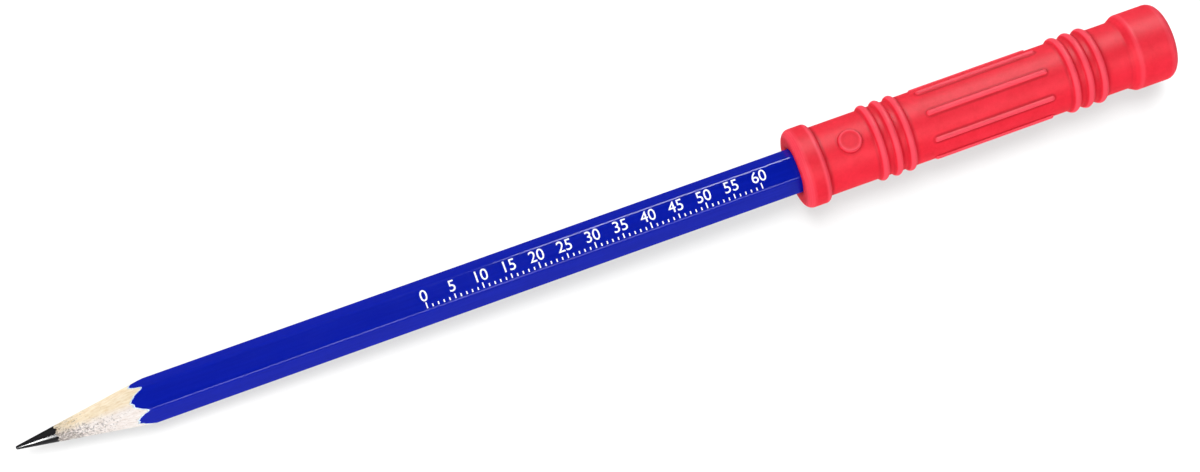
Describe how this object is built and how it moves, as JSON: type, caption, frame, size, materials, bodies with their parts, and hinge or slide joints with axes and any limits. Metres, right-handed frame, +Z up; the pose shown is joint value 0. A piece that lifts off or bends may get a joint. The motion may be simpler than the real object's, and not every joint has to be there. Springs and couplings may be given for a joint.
{
  "type": "chewable pencil topper on a pencil",
  "caption": "Soft ribbed chewable topper gripping the butt end of a sharpened hexagonal pencil, and sliding off along it.",
  "frame": {"origin": "on the floor under the middle of the whole object, as it lies on the topper's collar", "axes": "+X along the pencil from its point towards the topper's end, +Z up with the topper's button on top"},
  "size_m": [0.2074, 0.0142, 0.0142],
  "materials": {
    "soft_elastomer": "satin moulded thermoplastic elastomer",
    "blue_lacquer": "gloss paint",
    "casing_wood": "freshly sharpened, unfinished",
    "graphite": "fired graphite and clay, sharpened to a dull shine"
  },
  "bodies": {
    "pencil": {"lacquer_coat": "blue_lacquer", "upper_slat": "casing_wood", "lower_slat": "casing_wood", "graphite_core": "graphite"},
    "topper": {"chew_topper": "soft_elastomer"}
  },
  "joints": [
    {"name": "topper_slide", "type": "slide", "parent": "pencil", "child": "topper", "axis": [1, 0, 0], "range_m": [0, 0.045]}
  ]
}
